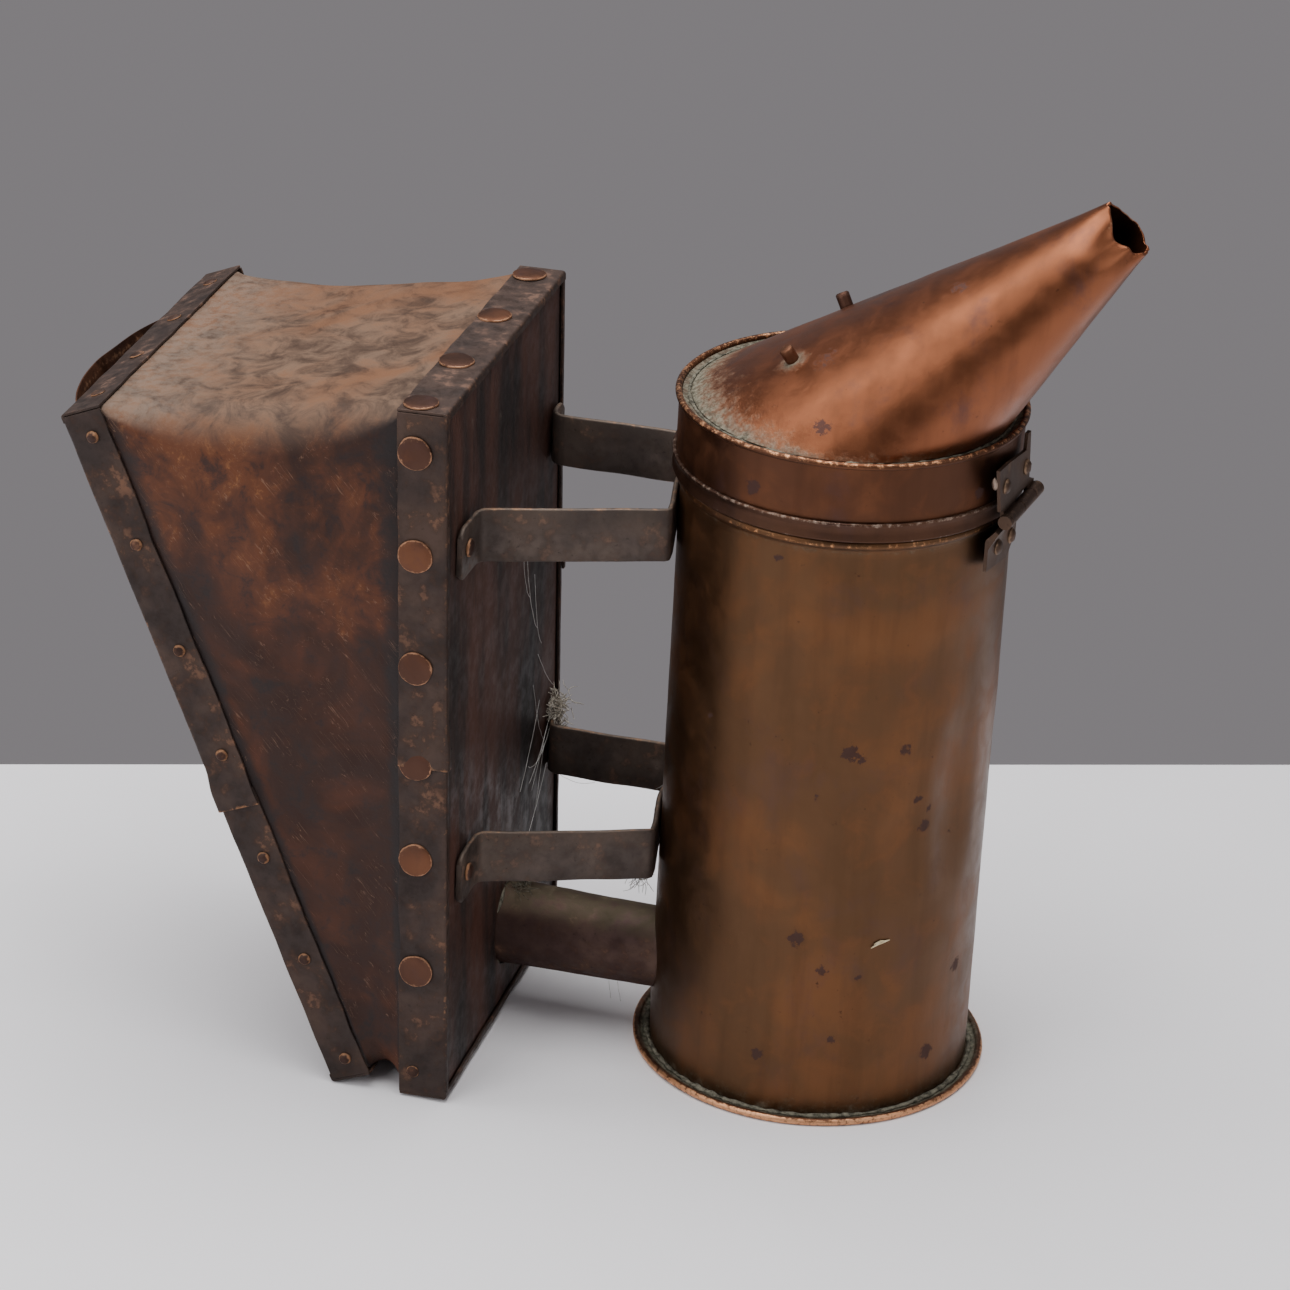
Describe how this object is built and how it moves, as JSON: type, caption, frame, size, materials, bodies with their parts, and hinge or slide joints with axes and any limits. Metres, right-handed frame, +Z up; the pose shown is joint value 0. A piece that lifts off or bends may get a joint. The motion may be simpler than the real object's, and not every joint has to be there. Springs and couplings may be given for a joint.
{
  "type": "bee smoker",
  "caption": "Bellows bee smoker: a copper fire can with a hinged oblique nozzle lid, joined by strap brackets and a blast tube to wedge-shaped leather bellows.",
  "frame": {"origin": "centre of the can's base plate, on its underside, which is the surface that the smoker stands on", "axes": "+Z up along the fire can's axis; +X from the bellows through the can to the lid hinge and the nozzle tip; +Y completes the right-handed set"},
  "size_m": [0.3108, 0.1356, 0.2902],
  "materials": {
    "copper_body": "aged, olive-brown copper with bare orange patches",
    "copper_nozzle": "redder, hand-polished copper with purple-brown stains and verdigris in its corners",
    "copper_base": "worn copper with verdigris and dirt in the corner",
    "solder": "copper band with tarnished solder at its edges",
    "brass_hinge": "aged brown-grey brass",
    "bracket_steel": "dark brown-grey oxidised steel with worn edges",
    "tube_steel": "sooty, dusty sheet steel",
    "strip_steel": "dark olive-brown rusty sheet steel",
    "copper_nail": "dull copper",
    "dark_tack": "dark rusty steel",
    "board_wood": "very dark red-brown stained wood",
    "leather": "aged dark brown leather with rubbed orange patches",
    "flap_leather": "plain brown leather",
    "spring_steel": "dark spring wire",
    "grate_steel": "burnt sheet steel"
  },
  "bodies": {
    "can": {"base_plate": "copper_base", "can_body": "copper_body", "blast_tube": "tube_steel", "upper_bracket": "bracket_steel", "upper_bracket_nail_near": "dark_tack", "upper_bracket_nail_far": "dark_tack", "upper_bracket_rivet": "dark_tack", "lower_bracket": "bracket_steel", "lower_bracket_nail_near": "dark_tack", "lower_bracket_nail_far": "dark_tack", "lower_bracket_rivet": "dark_tack", "front_board": "board_wood", "front_strip_near": "strip_steel", "front_strip_far": "strip_steel", "front_strip_top": "strip_steel", "front_strip_bottom": "strip_steel", "side_nail_1": "copper_nail", "side_nail_2": "copper_nail", "side_nail_3": "copper_nail", "side_nail_4": "copper_nail", "side_nail_5": "copper_nail", "side_nail_6": "copper_nail", "top_nail_1": "copper_nail", "top_nail_2": "copper_nail", "top_nail_3": "copper_nail", "top_nail_4": "copper_nail", "bellows_leather": "leather", "bellows_spring": "spring_steel", "hinge_lower_leaf": "brass_hinge", "hinge_pin": "brass_hinge", "hinge_rivet_lower_near": "brass_hinge", "hinge_rivet_lower_far": "brass_hinge"},
    "lid": {"lid_skirt": "copper_body", "lid_band": "solder", "lid_plate": "copper_nozzle", "nozzle_cone": "copper_nozzle", "handle_stud_near": "copper_nozzle", "handle_stud_far": "copper_nozzle", "hinge_upper_leaf": "brass_hinge", "hinge_rivet_upper_near": "brass_hinge", "hinge_rivet_upper_far": "brass_hinge"},
    "back": {"back_board": "board_wood", "back_strip_near": "strip_steel", "back_strip_far": "strip_steel", "back_strip_top": "strip_steel", "back_strip_bottom": "strip_steel", "edge_tack_1": "dark_tack", "edge_tack_2": "dark_tack", "edge_tack_3": "dark_tack", "edge_tack_4": "dark_tack", "edge_tack_5": "dark_tack", "edge_tack_6": "dark_tack", "edge_tack_7": "dark_tack", "hand_loop": "copper_nail", "hand_loop_nail_near": "dark_tack", "hand_loop_nail_far": "dark_tack", "valve_batten": "board_wood"},
    "flap": {"valve_flap": "flap_leather"},
    "grate": {"ember_grate": "grate_steel"}
  },
  "joints": [
    {"name": "lid_open", "type": "hinge", "parent": "can", "child": "lid", "pos_m": [0.05493, -0.00723, 0.1969], "axis": [0.1305, 0.9914, 0], "range_deg": [0, 120]},
    {"name": "bellows_compress", "type": "hinge", "parent": "can", "child": "back", "pos_m": [-0.11469, -0.01745, 0.00402], "axis": [0, 1, 0], "range_deg": [0, 16], "stiffness_Nm_per_rad": 4, "springref_deg": -20.05, "deforming": ["bellows_leather", "bellows_spring"]},
    {"name": "flap_open", "type": "hinge", "parent": "back", "child": "flap", "pos_m": [-0.17235, -0.01745, 0.12848], "axis": [0, -1, 0], "range_deg": [0, 25]},
    {"name": "grate_lift", "type": "slide", "parent": "can", "child": "grate", "axis": [0, 0, 1], "range_m": [0, 0.12]}
  ]
}
